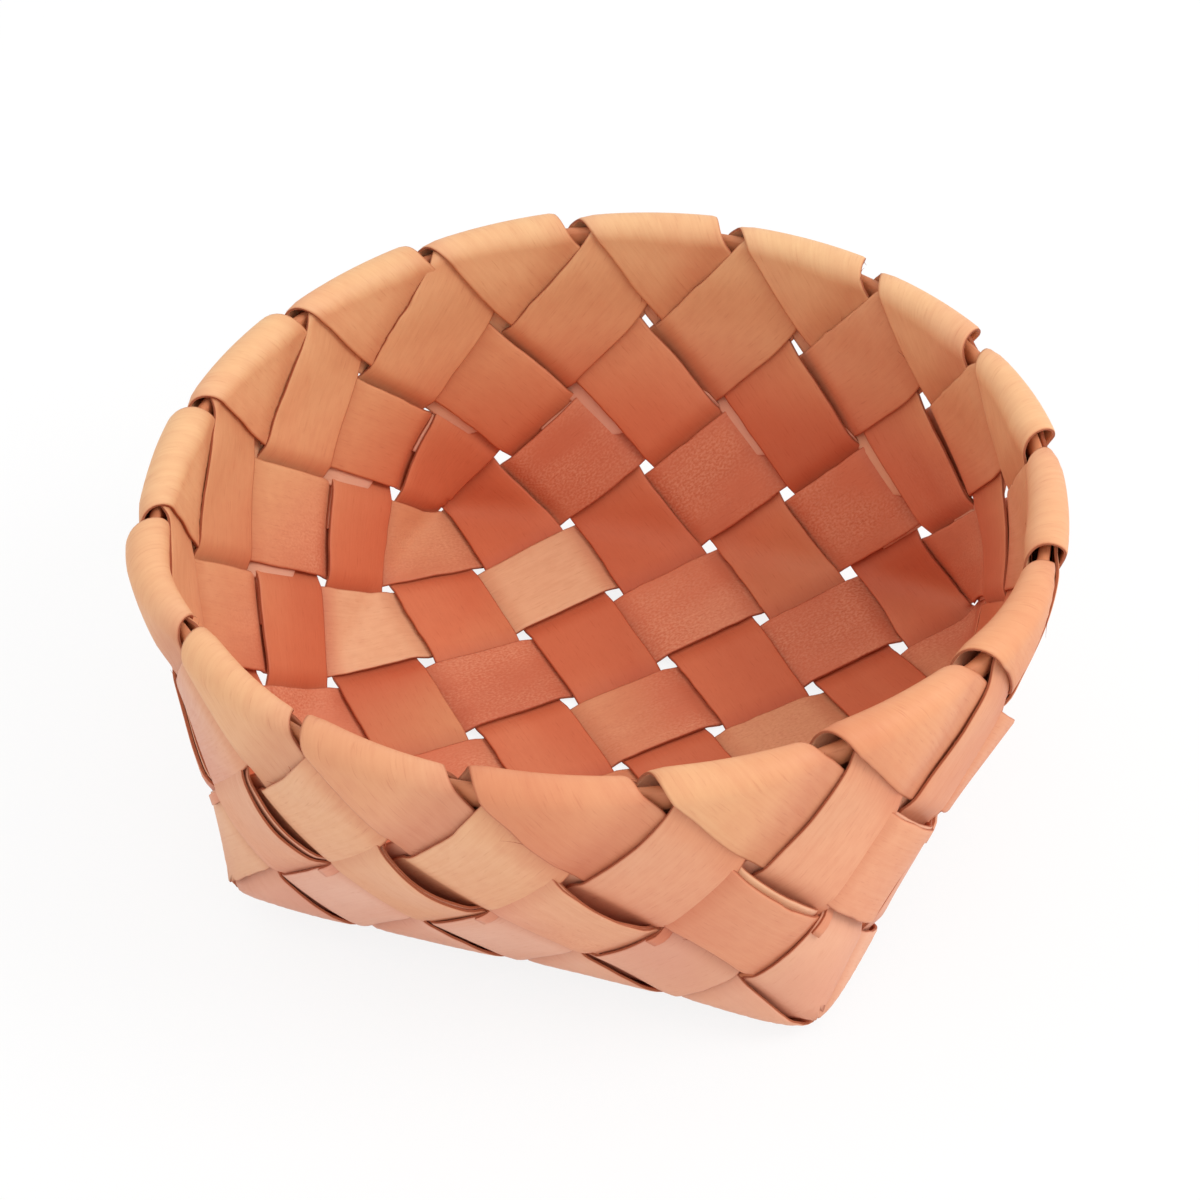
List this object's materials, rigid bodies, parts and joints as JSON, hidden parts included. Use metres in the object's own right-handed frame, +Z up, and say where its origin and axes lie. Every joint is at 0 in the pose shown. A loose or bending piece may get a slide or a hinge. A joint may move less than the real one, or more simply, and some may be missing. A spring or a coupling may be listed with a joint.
{
  "type": "storage basket",
  "caption": "Round open basket on a square base, plaited on the bias from wide wooden splints that fold over a lath hoop at the rim.",
  "frame": {"origin": "centre of the base, on the surface that the basket stands on", "axes": "+Z up out of the open rim, X and Y along the sides of the square base"},
  "size_m": [0.195, 0.195, 0.0877],
  "materials": {
    "warp_veneer": "bare wood veneer, satin",
    "weft_veneer": "bare wood veneer, satin",
    "hoop_lath": "bare wood, matt"
  },
  "bodies": {
    "root": {"warp_splint_1": "warp_veneer", "warp_splint_2": "warp_veneer", "warp_splint_3": "warp_veneer", "warp_splint_4": "warp_veneer", "warp_splint_5": "warp_veneer", "warp_splint_6": "warp_veneer", "warp_splint_7": "warp_veneer", "warp_splint_8": "warp_veneer", "weft_splint_1": "weft_veneer", "weft_splint_2": "weft_veneer", "weft_splint_3": "weft_veneer", "weft_splint_4": "weft_veneer", "weft_splint_5": "weft_veneer", "weft_splint_6": "weft_veneer", "weft_splint_7": "weft_veneer", "weft_splint_8": "weft_veneer", "rim_hoop": "hoop_lath"}
  },
  "joints": []
}
